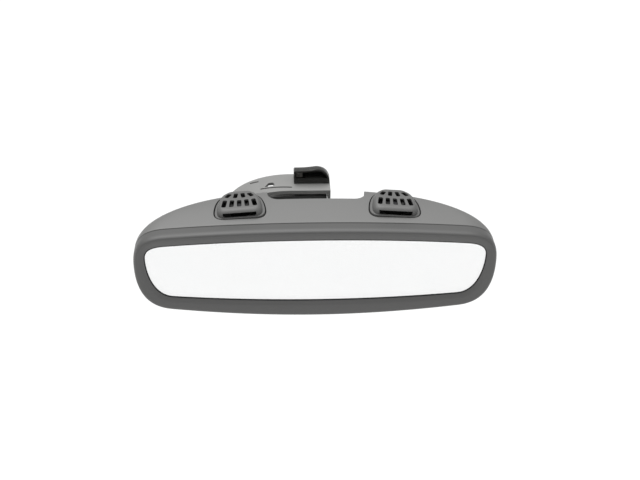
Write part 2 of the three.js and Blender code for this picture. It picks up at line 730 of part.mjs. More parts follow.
// The dark cast core that follows the shell inside and carries the foot and the ball stud.
function armCore() {
  const band = armBand(CORE_INSET, ARM_BAND, ARM_END_WALL + 0.6);
  const below = [ARM_TOP - ARM_BAND + 2, ARM_TOP - 4.3];
  let core = solid(drafted(slab(band, CORE_Y)));
  core = core.add(solid(bar(6.2, CORE_Y, BALL.x, BALL.z, 28)));
  core = core.add(solid(post(LOWER_SCREW, 3.2, [ARM.z - ARM.down + 4.2, BALL.z])));
  for (const spot of FOOT_SCREWS) {
    core = core.add(solid(post(spot, 3.4, below)));
  }
  for (const spot of FOOT_SCREWS) {
    core = core.subtract(solid(post(spot, SCREW_HOLE, [ARM.z, ARM_TOP])));
  }
  core = core.subtract(solid(post(LOWER_SCREW, SCREW_HOLE, [-30, BALL.z + 1])));
  core = core.subtract(solid(bar(TAIL_HOLE, [ARM_FRONT, ARM_BACK], BALL.x, BALL.z)));
  const beyond = solid(box([ARM.lowerEnd - 2.2, 30], [ARM_FRONT, ARM_BACK], [-40, ARM.z]));
  return core.subtract(beyond);
}

function studNut() {
  const hexagon = turned([[0, 0], [NUT.radius, 0], [NUT.radius, NUT.thick], [0, NUT.thick]], 6);
  const nut = solid(hexagon).subtract(solid(bar(TAIL_HOLE, [-1, NUT.thick + 1])));
  return nut.translate([BALL.x, CORE_Y[1] + GAP, BALL.z]);
}

// A washer-headed screw standing along Z, with its head at the bottom.
function uprightScrew([x, y], bottom, length) {
  const body = screw({ headRadius: 2.8, headHeight: 1.8, shankRadius: 1.35, length });
  return body.rotate([90, 0, 0]).translate([x, y, bottom]);
}

// The wires from the car's plug, down inside the arm and through the ball stud.
function armWires() {
  const back = STUD_END + 2.2;
  const route = [[0, BALL.y - 5, BALL.z], [0, 50, BALL.z], [0, 78, BALL.z], [0, back, BALL.z]];
  route.push([-0.6, back + 3.2, -4.6], [-3, back + 3.2, 0.3], [-7, back - 3, 4.4]);
  route.push([-13.5, ARM_FRONT + 13, 6.4], [-16.5, ARM_FRONT + 11.5, 9.2]);
  return wires(route, 1.3, 24);
}

function armConnector() {
  const front = ARM_FRONT + 7;
  const [bottom, top] = [10.2, 15.3];
  const body = box([-22.5, -12], [front, front + 8.5], [bottom, top]);
  const mouth = box([-21.5, -13], [front - 2, front + 3], [bottom + 0.9, top - 0.9]);
  return solid(body).subtract(solid(mouth));
}

// ---------------------------------------------------------------- foot

// The foot's outline seen by the driver, inside its walls: square on the left, round on the right.
function footOutline(inset) {
  const x = FOOT.halfWidth - inset;
  const top = FOOT.top - inset;
  const radius = FOOT.corner - inset;
  const shape = new THREE.Shape();
  shape.moveTo(-x, ARM_TOP - 4);
  shape.lineTo(x, ARM_TOP - 4);
  shape.absarc(x - radius, top - radius, radius, 0, Math.PI / 2);
  shape.lineTo(-x, top);
  return shape;
}

// Lets the roof fall towards the back while the base stays level.
function raked(geometry) {
  const position = geometry.attributes.position;
  for (let i = 0; i < position.count; i += 1) {
    const share = (position.getZ(i) - ARM_TOP) / (FOOT.top - ARM_TOP);
    const fall = FOOT_RAKE * (position.getY(i) - FOOT.front) * Math.max(share, 0);
    position.setZ(i, position.getZ(i) - fall);
  }
  return geometry;
}

function footShoe() {
  const { front, back, floor, wall } = FOOT;
  const outer = raked(slab(footOutline(0), [front, back]));
  const hollow = raked(slab(footOutline(wall), [front - 2, back - wall]));
  const below = box([-20, 20], [front - 4, back + 4], [0, floor]);
  const saddle = drafted(slab(armBand(-GAP, ARM_BAND), [ARM_FRONT, ARM_BACK + GAP]));
  const pocket = solid(hollow).subtract(solid(below));
  let shoe = solid(outer).subtract(pocket).subtract(solid(saddle));
  for (const spot of FOOT_SCREWS) {
    shoe = shoe.subtract(solid(post(spot, SCREW_HOLE, [ARM.z, floor - 0.5])));
  }
  return shoe.add(solid(box(PAD.x, PAD.y, [floor - 0.3, floor + PAD.height])));
}

// A bent strip on the left of the pocket that springs against the tongue.
function footSpring() {
  const left = -FOOT.halfWidth + FOOT.wall + GAP;
  const y = FOOT.front + 1;
  const z = FOOT.floor + GAP;
  const side = new THREE.Shape();
  side.moveTo(y, z);
  side.lineTo(y + 7, z);
  side.lineTo(y + 7, z + 0.6);
  side.lineTo(y + 0.6, z + 0.6);
  side.lineTo(y + 0.6, z + 3.4);
  side.lineTo(y + 5, z + 2.4);
  side.lineTo(y + 5, z + 3);
  side.lineTo(y, z + 4.1);
  const strip = new THREE.ExtrudeGeometry(side, { depth: 4.6, bevelEnabled: false });
  strip.applyMatrix4(new THREE.Matrix4().set(0, 0, 1, left, 1, 0, 0, 0, 0, 1, 0, 0, 0, 0, 0, 1));
  return strip;
}

// ---------------------------------------------------------------- assembly

const head = new THREE.Group();
head.add(
  piece('front_bezel', frontBezel(), GREY_BEZEL),
  piece('front_glass', glassPane(FRONT_GLASS_Y, CELL_SHIFT), CLEAR_GLASS),
  piece('cell_seal', cellSeal(), WHITE_NYLON),
  piece('mirror_glass', glassPane(REAR_GLASS_Y, -CELL_SHIFT), MIRROR),
  piece('busbar_upper', busbar(1), SPRING_STEEL),
  piece('busbar_lower', busbar(-1), SPRING_STEEL),
  piece('foam_pad', foamPad(), FOAM),
  piece('carrier_plate', carrierPlate(), BLACK_NYLON),
  piece('circuit_board', circuitBoard(), BOARD_GREEN),
  piece('board_connector', boardConnector(), WHITE_NYLON),
  piece('head_wires', headWires(), RUBBER),
  piece('glare_sensor', glareSensor(), DARK_LENS),
  piece('ambient_sensor', ambientSensor(), DARK_LENS),
  piece('ambient_light_pipe', ambientLightPipe(), CLEAR_GLASS),
  piece('ambient_lens', ambientLens(), DARK_LENS),
  piece('rear_housing', rearHousing(), GREY_HOUSING),
);
for (const [side, name] of [[-1, 'left'], [1, 'right']]) {
  head.add(
    piece(`mic_grille_${name}`, micGrille(side), GREY_GRILLE),
    piece(`mic_capsule_${name}`, micCapsule(side), STEEL),
    piece(`mic_boot_${name}`, micBoot(side), RUBBER),
  );
}
CARRIER_SCREWS.forEach(([x, z], i) => {
  const sizes = { headRadius: 2.8, headHeight: 1.7, shankRadius: 1.25, length: 7, countersunk: true };
  const fastener = piece(`carrier_screw_${i + 1}`, screw(sizes), STEEL);
  fastener.position.set(x, CARRIER_Y[0] + 0.1, z);
  head.add(fastener);
});

const balljoint = new THREE.Group();
balljoint.position.copy(BALL);
balljoint.add(
  piece('ball_seat', ballSeat(), WHITE_NYLON),
  piece('spring_shell', springShell(), SPRING_STEEL),
  piece('retaining_ring', retainingRing(), BLACK_NYLON),
  piece('ball_stud', ballStud(), STEEL),
);
head.add(balljoint, piece('ball_socket', ballSocket(), BLACK_NYLON));
socketScrewSpots().forEach(([x, z], i) => {
  const sizes = { headRadius: 2.7, headHeight: 1.6, shankRadius: 1.3, length: 4.2 };
  const fastener = piece(`socket_screw_${i + 1}`, screw(sizes), STEEL);
  fastener.rotation.x = Math.PI;
  fastener.position.set(x, CARRIER_Y[1] + GAP * 2 + SOCKET.flangeThick + 1.6, z);
  head.add(fastener);
});

const arm = new THREE.Group();
arm.add(
  piece('arm_shell', armShell(), GREY_ARM),
  piece('arm_core', armCore(), DARK_CAST),
  piece('stud_nut', studNut(), STEEL),
  piece('arm_wires', armWires(), RUBBER),
  piece('arm_connector', armConnector(), WHITE_NYLON),
  piece('arm_screw', uprightScrew(LOWER_SCREW, -18, 7), STEEL),
  piece('foot_shoe', footShoe(), BLACK_NYLON),
  piece('foot_spring', footSpring(), SPRING_STEEL),
);
FOOT_SCREWS.forEach((spot, i) => {
  arm.add(piece(`foot_screw_${i + 1}`, uprightScrew(spot, ARM_TOP - 16.2, 14.4), STEEL));
});

// The origin is where the bracket rests on the raised pad in the foot's pocket.
const mirror = new THREE.Group();
mirror.add(head, arm);
head.position.copy(SEAT_POINT).negate();
arm.position.copy(SEAT_POINT).negate();

export default mirror;
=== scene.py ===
"""A car's interior rearview mirror: a wide dimming glass in a grey bezel and housing with two
microphone pods, hung by a ball joint on a curved hollow arm with a dark foot."""
import math
import bmesh
import bpy
from mathutils import Matrix, Vector


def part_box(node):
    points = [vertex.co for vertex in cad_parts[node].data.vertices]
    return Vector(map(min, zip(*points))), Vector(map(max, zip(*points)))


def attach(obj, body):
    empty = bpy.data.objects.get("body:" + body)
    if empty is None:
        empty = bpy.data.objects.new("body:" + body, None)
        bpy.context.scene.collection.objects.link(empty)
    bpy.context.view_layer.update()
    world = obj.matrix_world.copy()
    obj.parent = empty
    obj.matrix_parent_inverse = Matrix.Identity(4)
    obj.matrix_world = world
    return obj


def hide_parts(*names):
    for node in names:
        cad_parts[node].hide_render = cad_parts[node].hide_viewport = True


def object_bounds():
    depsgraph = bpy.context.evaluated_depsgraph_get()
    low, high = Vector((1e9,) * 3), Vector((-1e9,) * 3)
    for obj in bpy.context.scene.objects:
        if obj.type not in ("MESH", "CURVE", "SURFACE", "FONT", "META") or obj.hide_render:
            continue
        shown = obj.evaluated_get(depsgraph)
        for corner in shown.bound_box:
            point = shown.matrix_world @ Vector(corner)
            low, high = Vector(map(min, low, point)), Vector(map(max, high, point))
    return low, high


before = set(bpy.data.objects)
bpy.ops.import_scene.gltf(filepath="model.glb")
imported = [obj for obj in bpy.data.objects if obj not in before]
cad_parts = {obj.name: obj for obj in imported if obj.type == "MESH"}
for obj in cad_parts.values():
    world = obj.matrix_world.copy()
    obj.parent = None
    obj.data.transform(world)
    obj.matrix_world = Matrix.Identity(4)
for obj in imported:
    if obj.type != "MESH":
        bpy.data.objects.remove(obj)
cad_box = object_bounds()

# ---------------------------------------------------------------- front bezel
# One moulding of grained grey ABS that frames the glass, rolls back over the edge of the head
# and snaps into the housing with a tongue all round. Sizes are in millimetres from the middle
# of the glass, with the bezel's front face at y = 0.
HEAD_HALF = dict(
    top=(0, 28.8), top_pull=(55, 28.8), top_end=(104, 25.3),
    upper_corner=((120, 24.2), (125.5, 17)), widest=(125.5, 4),
    lower_corner=((125.5, -16), (119, -30)), bottom_end=(101, -32.3),
    bottom_pull=(48, -38.6), bottom=(0, -38.6),
)
WINDOW_HALF = dict(
    top=(0, 21.2), top_pull=(55, 21.2), top_end=(104, 17.8),
    upper_corner=((112, 17.2), (117.8, 15.2)), widest=(118, 8.5),
    lower_corner=((118, -1), (114, -21)), bottom_end=(99, -22.2),
    bottom_pull=(50, -26.2), bottom=(0, -26.2),
)
PARTING = 12
WALL = 2.2
LIP = 1.2
GROOVE = 0.4
TONGUE = dict(outside=3.6, inside=4.5, back=PARTING + 2.2)
ROLL = dict(width=2.4, depth=5, turn=math.radians(70), steps=8)
bezel_low, bezel_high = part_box("front_bezel")
GLASS_MIDDLE = Vector((
    (bezel_low.x + bezel_high.x) / 2,
    bezel_low.y,
    bezel_high.z - HEAD_HALF["top"][1] / 1000,
))
TO_ROW = Matrix.Translation(GLASS_MIDDLE) @ Matrix.Scale(0.001, 4)


def curve(controls, steps):
    """Points along a Bezier curve with any number of controls, without its last point."""
    found = []
    for i in range(steps):
        level = [Vector(point) for point in controls]
        while len(level) > 1:
            level = [a.lerp(b, i / steps) for a, b in zip(level, level[1:])]
        found.append(level[0])
    return found


def mirrored(half):
    """A right half from the top middle to the bottom middle, and its reflection, as one ring."""
    return half + [Vector((-p.x, p.y)) for p in reversed(half[1:-1])]


def head_ring(form):
    """A whole outline of the head or its window, clockwise as the driver sees it."""
    half = curve((form["top"], form["top_pull"], form["top_end"]), 22)
    half += curve((form["top_end"], *form["upper_corner"], form["widest"]), 16)
    half += curve((form["widest"], *form["lower_corner"], form["bottom_end"]), 18)
    half += curve((form["bottom_end"], form["bottom_pull"], form["bottom"]), 22)
    return mirrored(half + [Vector(form["bottom"])])


def shrunk(ring, inset):
    """A clockwise ring moved inwards."""
    count = len(ring)
    moved = []
    for i, point in enumerate(ring):
        along = (ring[(i + 1) % count] - ring[i - 1]).normalized()
        moved.append(point + Vector((along.y, -along.x)) * inset)
    return moved


def upright(ring, y):
    """A ring of (x, z) points standing in the plane of the glass at a depth."""
    return [(point.x, y, point.y) for point in ring]


def edges_round(bm, corners):
    """The edges that join a ring of corners."""
    return [bm.edges.get(pair) for pair in zip(corners, corners[1:] + corners[:1])]


def ordered(bm):
    """Numbers the corners, edges and faces by their places, so that every run is the same."""
    across = Vector((1, 0.6137, 0.2719))
    bm.verts.sort(key=lambda vert: vert.co.dot(across))
    bm.edges.sort(key=lambda edge: sum(vert.co.dot(across) for vert in edge.verts))
    bm.faces.sort(key=lambda face: face.calc_center_median().dot(across))
    return bm


def swept(rings, hoop=False):
    """A skin drawn out from one ring to the next. Its ends are closed, or meet as in a hoop."""
    bm = bmesh.new()
    corners = [bm.verts.new(place) for place in rings[0]]
    for pair in zip(corners, corners[1:] + corners[:1]):
        bm.edges.new(pair)
    first = edges_round(bm, corners)
    last = first
    for ring in rings[1:] + (rings[:1] if hoop else []):
        drawn = bmesh.ops.extrude_edge_only(bm, edges=last)["geom"]
        fresh = {part for part in drawn if isinstance(part, bmesh.types.BMVert)}
        corners = [
            next(e.other_vert(v) for e in v.link_edges if e.other_vert(v) in fresh) for v in corners
        ]
        for corner, place in zip(corners, ring):
            corner.co = place
        last = edges_round(bm, corners)
    if hoop:
        bmesh.ops.remove_doubles(bm, verts=bm.verts, dist=0.00001)
    else:
        for end in (first, last):
            bmesh.ops.contextual_create(bm, geom=end)
    return ordered(bm)


def finished(bm, name, finish, smooth=35, place=TO_ROW, weld=0.00001):
    """The piece as an object, welded, with its place in its mesh and sharp edges kept sharp."""
    bmesh.ops.remove_doubles(bm, verts=bm.verts, dist=weld)
    bmesh.ops.recalc_face_normals(bm, faces=bm.faces)
    bm.transform(place)
    mesh = bpy.data.meshes.new(name)
    bm.to_mesh(mesh)
    bm.free()
    mesh.materials.append(finish)
    mesh.shade_smooth()
    mesh.set_sharp_from_angle(angle=math.radians(smooth))
    made = bpy.data.objects.new(name, mesh)
    bpy.context.collection.objects.link(made)
    return made


class Signal:
    """A value inside a material. Sums and products of signals add Math nodes."""

    def __init__(self, tree, socket=None):
        self.tree = tree
        self.socket = socket

    def node(self, kind, settings=(), sockets=(), output=0):
        """Any other node, with its settings and then the values or links of its sockets."""
        made = self.tree.nodes.new(kind)
        for setting, value in dict(settings).items():
            setattr(made, setting, value)
        for socket, value in dict(sockets).items():
            if isinstance(value, Signal):
                self.tree.links.new(value.socket, made.inputs[socket])
            else:
                made.inputs[socket].default_value = value
        return Signal(self.tree, made.outputs[output])

    def maths(self, operation, *values):
        """A Math node on signals and numbers."""
        return self.node("ShaderNodeMath", {"operation": operation}, enumerate(values))

    def __add__(self, other):
        return self.maths("ADD", self, other)

    def __radd__(self, other):
        return self.maths("ADD", other, self)

    def __sub__(self, other):
        return self.maths("SUBTRACT", self, other)

    def __rsub__(self, other):
        return self.maths("SUBTRACT", other, self)

    def __mul__(self, other):
        return self.maths("MULTIPLY", self, other)

    def __rmul__(self, other):
        return self.maths("MULTIPLY", other, self)


def blank(name, **constants):
    """A new material, its shader with the given constant sockets, and a signal to build on."""
    material = bpy.data.materials.new(name)
    material.use_nodes = True
    shader = material.node_tree.nodes["Principled BSDF"]
    for socket, value in constants.items():
        shader.inputs[socket.replace("_", " ")].default_value = value
    return material, shader, Signal(material.node_tree)


def noise(place, scale, detail):
    """Soft noise at a place, from 0 to 1."""
    sockets = {"Vector": place, "Scale": scale, "Detail": detail}
    return place.node("ShaderNodeTexNoise", sockets=sockets)


def blended(mask, shade, colour):
    """The shade where the mask is 0, the colour where it is 1, and mixed between."""
    sockets = {0: mask, 6: (*shade, 1), 7: (*colour, 1)}
    return mask.node("ShaderNodeMix", {"data_type": "RGBA"}, sockets, output=2)


def surfaced(material, shader, **signals):
    """The material once its varying sockets are linked."""
    for socket, signal in signals.items():
        material.node_tree.links.new(signal.socket, shader.inputs[socket.replace("_", " ")])
    return material


def moulded(name, colour, shade, gloss, grain=0.35, depth=0.12):
    """Moulded plastic: fine spark-eroded grain in millimetres, and a faint cloudy unevenness."""
    material, shader, start = blank(name, IOR=1.5)
    place = start.node("ShaderNodeTexCoord", output="Object")
    pits = noise(place, 1000 / grain, 2)
    pores = start.node("ShaderNodeTexVoronoi", sockets={"Vector": place, "Scale": 700 / grain})
    cloud = noise(place, 28, 4)
    height = pits * 0.7 + pores * 0.3
    tint = blended(cloud * 0.5 + pits * 0.5, shade, colour)
    rough = gloss + 0.16 * (pits - 0.5) + 0.08 * (cloud - 0.5)
    sockets = {"Strength": depth, "Distance": 0.0002, "Height": height}
    relief = start.node("ShaderNodeBump", sockets=sockets)
    return surfaced(material, shader, Base_Color=tint, Roughness=rough, Normal=relief)


head_outline = head_ring(HEAD_HALF)
window_outline = head_ring(WINDOW_HALF)

# The section of the moulding as insets and depths: its outer side, the lip and the tongue.
shoulder = PARTING - GROOVE
outer_side = [(1.8, shoulder), (0.4, shoulder), (0.12, shoulder - 0.12), (0, shoulder - 0.45)]
for i in range(ROLL["steps"] + 1):
    turn = ROLL["turn"] * i / ROLL["steps"]
    inset = ROLL["width"] * (1 - math.cos(turn))
    outer_side.append((inset, ROLL["depth"] * (1 - math.sin(turn))))
outer_side.append((ROLL["width"], 0))
lip = [(-3.4, 0), (-3.1, 0.06), (-0.25, 0.9), (0, 1.05), (0, LIP)]
tongue = [
    (TONGUE["inside"], LIP),
    (TONGUE["inside"], TONGUE["back"]),
    (TONGUE["outside"], TONGUE["back"]),
    (TONGUE["outside"], shoulder),
]
rings = [upright(shrunk(head_outline, inset), y) for inset, y in outer_side]
rings += [upright(shrunk(window_outline, inset), y) for inset, y in lip]
rings += [upright(shrunk(head_outline, inset), y) for inset, y in tongue]
# The bezel's darker grey is partly its own tone and partly painted shade, which darkens its face
# and lower band beyond what the lighting gives.
bezel_grey_and_painted_shade = moulded("bezel grey and painted shade", (0.125, 0.125, 0.123), (0.098, 0.098, 0.096), 0.5)
bezel = finished(swept(rings, hoop=True), "bezel", bezel_grey_and_painted_shade, smooth=14)
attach(bezel, "head")
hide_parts("front_bezel")

# ---------------------------------------------------------------- glass cell
# Two panes of float glass with a thin gel between them. The rear one is silvered; both have ground
# edges, and stand a little up and down so that a contact strip fits on each. A thin black ring in
# front of the panes is painted shade for the shadowed gap under the bezel's lip.
FRONT_PANE = (1.5, 3.1)
REAR_PANE = (4.1, 5.7)
GLASS_LAP = 2.4
CELL_SHIFT = 1.1
GROUND_EDGE = 0.25
# Sizes of the black ring of painted shade that stands for the shadowed gap in front of the glass.
PAINTED_SHADE_RING = dict(front=1.22, middle=1.35, back=1.48, outside=-1, inside=0.6, bulge=0.8)


def pane(depths, shift):
    """A sheet of glass the shape of the window, lapped behind the bezel's lip."""
    front, back = depths
    lap = GLASS_LAP - CELL_SHIFT
    edge = [
        (lap - GROUND_EDGE, front),
        (lap, front + GROUND_EDGE),
        (lap, back - GROUND_EDGE),
        (lap - GROUND_EDGE, back),
    ]
    bm = swept([upright(shrunk(window_outline, -grow), y) for grow, y in edge])
    bmesh.ops.translate(bm, vec=(0, 0, shift), verts=bm.verts)
    return bm


def glazed(name, tint, **constants):
    """Polished glass with a trace of haze."""
    material, shader, start = blank(name, **constants)
    place = start.node("ShaderNodeTexCoord", output="Object")
    film = noise(place, 35, 3)
    tone = blended(film, tint, (0.99, 0.99, 0.99))
    return surfaced(material, shader, Base_Color=tone, Roughness=film * 0.015 + 0.003)


# A thin black ring between the lip and the pane is painted shade for the shadowed gap there, and
# shows as a dark line round the glass.
painted_shade_ring_black = moulded("painted shade ring black", (0.012, 0.012, 0.012), (0.008, 0.008, 0.008), 0.7)
section = [
    (PAINTED_SHADE_RING["outside"], PAINTED_SHADE_RING["front"]),
    (PAINTED_SHADE_RING["inside"], PAINTED_SHADE_RING["front"]),
    (PAINTED_SHADE_RING["bulge"], PAINTED_SHADE_RING["middle"]),
    (PAINTED_SHADE_RING["inside"], PAINTED_SHADE_RING["back"]),
    (PAINTED_SHADE_RING["outside"], PAINTED_SHADE_RING["back"]),
]
rings = [upright(shrunk(window_outline, inset), y) for inset, y in section]
painted_shade_ring = finished(swept(rings, hoop=True), "painted_shade_ring", painted_shade_ring_black)
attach(painted_shade_ring, "head")

# The silver is seen through the front pane, which lifts it almost to the surface.
front_glass = glazed("front glass over silver", (0.97, 0.98, 0.98), Metallic=1.0, Alpha=0.85)
front_pane = finished(pane(FRONT_PANE, CELL_SHIFT), "front_pane", front_glass)
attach(front_pane, "head")
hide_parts("front_glass")

silvered = glazed("silvered glass", (0.95, 0.96, 0.96), Metallic=1.0)
silvered_pane = finished(pane(REAR_PANE, -CELL_SHIFT), "silvered_pane", silvered)
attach(silvered_pane, "head")
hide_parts("mirror_glass")

# ---------------------------------------------------------------- rear housing
# The back of the head, moulded in grained grey ABS. Its sections shrink towards the back like
# a crescent seen from above. A pocket in the top and back takes the arm and the ball joint, a
# port in each wing takes a microphone pod, and four posts inside take the carrier's screws.
HOUSING_DEPTH = 44
END_ANGLE = math.radians(80)
TOP_POWER = 0.16
RISE = 0.25
RECESS = dict(x=1.8, half_width=34.6, front=39, floor=-21, corner=8)
BALL = Vector((0, 32, -6))
SOCKET_RADIUS = 13
POD_PLACE = Vector((54, 33.4, 32))
POD_TILT = math.radians(9)
POD_LEAN = math.radians(4)
POD_SKIRT = 4
POD_PORT_GAP = 0.35
CARRIER_POSTS = [(-84, 13), (84, 13), (-84, -14), (84, -14)]
POST = dict(radius=3.6, front=10.8, pilot=1.5, pilot_end=19.5)
AMBIENT_EYE = (24, 8)
EYE_RADIUS = 3.8


def crescent(ring, front, depth, steps):
    """The closed solid that a ring sweeps back from the parting line."""
    rings = []
    for i in range(steps + 1):
        angle = END_ANGLE * i / steps
        y = front + depth * math.sin(angle) / math.sin(END_ANGLE)
        narrow = math.cos(angle)
        lower = math.cos(angle) ** TOP_POWER
        rise = RISE * (y - PARTING)
        rings.append([(p.x * narrow, y, p.y * lower + rise) for p in ring])
    return swept(rings)


def round_over(bm, edges, radius, segments=3):
    """Rounds edges off."""
    bmesh.ops.bevel(
        bm,
        geom=edges,
        offset=radius,
        segments=segments,
        profile=0.5,
        affect="EDGES",
        clamp_overlap=True,
        material=-1,
    )


def block(low, high, corner=0, foot_corner=0):
    """A box between two corners, its upright edges and its lower edges rounded."""
    bm = bmesh.new()
    bmesh.ops.create_cube(bm, size=1)
    low, high = Vector(low), Vector(high)
    bmesh.ops.scale(bm, vec=high - low, verts=bm.verts)
    bmesh.ops.translate(bm, vec=(low + high) / 2, verts=bm.verts)
    tall = [e for e in bm.edges if abs(e.verts[0].co.z - e.verts[1].co.z) > 1e-6]
    if corner:
        round_over(bm, tall, corner, 10)
    if foot_corner:
        base = [e for e in bm.edges if max(v.co.z for v in e.verts) < low.z + 1e-6]
        round_over(bm, base, foot_corner, 5)
    return bm


def rod(radius, low, high, x, z, segments=32):
    """A round bar along Y between two depths."""
    bm = bmesh.new()
    bmesh.ops.create_cone(
        bm, cap_ends=True, segments=segments, radius1=radius, radius2=radius, depth=high - low
    )
    bmesh.ops.rotate(bm, matrix=Matrix.Rotation(math.pi / 2, 3, "X"), verts=bm.verts)
    bmesh.ops.translate(bm, vec=(x, (low + high) / 2, z), verts=bm.verts)
    return bm


def carved(body, steps):
    """A solid after its (operation, solid) steps, which join to it or take away in order."""
    made = []
    for bm in [body] + [solid for _, solid in steps]:
        bmesh.ops.recalc_face_normals(bm, faces=bm.faces)
        mesh = bpy.data.meshes.new("carving")
        bm.to_mesh(mesh)
        bm.free()
        made.append(bpy.data.objects.new("carving", mesh))
        bpy.context.collection.objects.link(made[-1])
    for (operation, _), tool in zip(steps, made[1:]):
        cut = made[0].modifiers.new(operation, "BOOLEAN")
        cut.operation = operation
        cut.solver = "EXACT"
        cut.object = tool
    bpy.context.view_layer.update()
    shaped = made[0].evaluated_get(bpy.context.evaluated_depsgraph_get())
    result = bmesh.new()
    result.from_mesh(shaped.to_mesh())
    shaped.to_mesh_clear()
    for spare in made:
        bpy.data.objects.remove(spare)
    return result


def recess_block(outset):
    """The pocket that is open at the top and at the back."""
    half = RECESS["half_width"] + outset
    low = (RECESS["x"] - half, RECESS["front"] - outset, RECESS["floor"] - outset)
    high = (RECESS["x"] + half, RECESS["front"] + 60, 70)
    return block(low, high, RECESS["corner"] + outset, 2)


POD_HALF = [
    ((0, -15.4), (10.5, -15.4)),
    ((10.5, -15.4), (16, -15.4), (18.2, -12.6), (18, -7)),
    ((18, -7), (17.6, 2), (15.2, 9.5), (11.5, 12.6)),
    ((11.5, 12.6), (9.6, 14.2), (6.5, 14.2)),
]


def pod_ring(inset=0):
    """A pod's outline from above, anticlockwise: broad at the front, narrower at the back."""
    half = []
    for part, steps in zip(POD_HALF, (4, 12, 14, 8)):
        half += curve(part, steps)
    ring = mirrored(half + [Vector((6.5, 14.2)), Vector((0, 14.2))])
    ring.reverse()
    return shrunk(ring, inset)


def on_wing(bm, side):
    """Moves a pod's piece from the pod's own axes to the left or right wing."""
    turn = Matrix.Rotation(side * POD_LEAN, 4, "Y") @ Matrix.Rotation(POD_TILT, 4, "X")
    middle = (RECESS["x"] + side * POD_PLACE.x, POD_PLACE.y, POD_PLACE.z)
    bm.transform(Matrix.Translation(middle) @ turn)
    return bm


def pod_prism(outset):
    """The port that a pod drops into."""
    ring = pod_ring(-outset)
    return swept([[(p.x, p.y, z) for p in ring] for z in (-POD_SKIRT - 1.2, 14)])


skin_front = PARTING + 0.3
outer = crescent(head_outline, skin_front, HOUSING_DEPTH, 30)
rim = [e for e in outer.edges if max(v.co.y for v in e.verts) < skin_front + 0.01]
round_over(outer, rim, 0.45, 3)
inner = crescent(shrunk(head_outline, WALL), PARTING - 1, HOUSING_DEPTH - WALL + 1, 14)
cavity = carved(inner, [("DIFFERENCE", recess_block(WALL))])
steps = [("DIFFERENCE", recess_block(0)), ("DIFFERENCE", cavity)]
for x, z in CARRIER_POSTS:
    room = crescent(shrunk(head_outline, 0.7), PARTING - 1.4, HOUSING_DEPTH + 0.9, 14)
    post = carved(rod(POST["radius"], POST["front"], 60, x, z), [("INTERSECT", room)])
    steps.append(("UNION", post))
for x, z in CARRIER_POSTS:
    steps.append(("DIFFERENCE", rod(POST["pilot"], 0, POST["pilot_end"], x, z, 16)))
for side in (-1, 1):
    steps.append(("DIFFERENCE", on_wing(pod_prism(POD_PORT_GAP), side)))
mouth = rod(SOCKET_RADIUS + 0.6, BALL.y, RECESS["front"] + 1, BALL.x, BALL.z, 48)
steps.append(("DIFFERENCE", mouth))
steps.append(("DIFFERENCE", rod(EYE_RADIUS, 30, 60, *AMBIENT_EYE)))
housing_grey = moulded("housing grey", (0.215, 0.215, 0.211), (0.175, 0.175, 0.172), 0.5)
housing = finished(carved(outer, steps), "housing", housing_grey, smooth=28)
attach(housing, "head")
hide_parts("rear_housing")

# ---------------------------------------------------------------- microphone pods
# A thin domed grille of grey ABS snaps into each wing. Two rows of slots in its top and a wide
# mouth low in its front let the sound through to a capsule in a rubber boot.
POD = dict(height=5.4, flange=0.5, ledge=0.1, wall=1.2, taper=0.2, lean=2.4, fall=0.5)
DOME_STEPS = 11
SLOT_ROWS = [
    dict(count=5, pitch=5.2, width=3.2, length=8.6, y=-4.2, splay=0.08),
    dict(count=4, pitch=5.2, width=3, length=7, y=7.2, splay=0.26),
]
MOUTH = dict(half_width=11.6, back=-9.7, low=0.5, high=3.8, corner=1.6)


def dome(inset):
    """A pod's rounded body on its flange, smaller all round where it is the hollow inside."""
    ring = pod_ring(0.45 + inset)
    low = POD["flange"] - inset
    rise = POD["height"] - POD["flange"]
    rings = [[(p.x, p.y, z) for p in ring] for z in (-POD_SKIRT - 3 * inset, low - 0.3)]
    rings.append([(p.x * 0.985, p.y * 0.985, low) for p in ring])
    for i in range(DOME_STEPS + 1):
        turn = math.pi / 2 * i / DOME_STEPS
        share = 1 - math.cos(turn)
        narrow = 1 - POD["ledge"] - POD["taper"] * share
        level = []
        for p in ring:
            back = min(max((p.y + 4) / 16, 0), 1)
            height = low + 0.15 + rise * math.sin(turn) ** 0.9 * (1 - POD["fall"] * back * back)
            y = p.y * (0.985 - 0.15 * share) + POD["lean"] * share
            level.append((p.x * narrow, y, height))
        rings.append(level)
    for share in (0.75, 0.5, 0.2):
        middle = sum(z for _, _, z in level) / len(level)
        rings.append([
            (x * share, y * share, z * share + (middle + 0.3) * (1 - share)) for x, y, z in level
        ])
    return swept(rings)


def slot_cutters(row):
    """One row of slots, whose back ends lean together."""
    cutters = []
    for i in range(row["count"]):
        offset = i - (row["count"] - 1) / 2
        half = Vector((row["width"] / 2, row["length"] / 2, 0))
        cutter = block((-half.x, -half.y, 1.2), (half.x, half.y, 12), half.x * 0.7)
        lean = Matrix.Rotation(offset * row["splay"], 3, "Z")
        bmesh.ops.rotate(cutter, matrix=lean, verts=cutter.verts)
        bmesh.ops.translate(cutter, vec=(offset * row["pitch"], row["y"], 0), verts=cutter.verts)
        cutters.append(("DIFFERENCE", cutter))
    return cutters


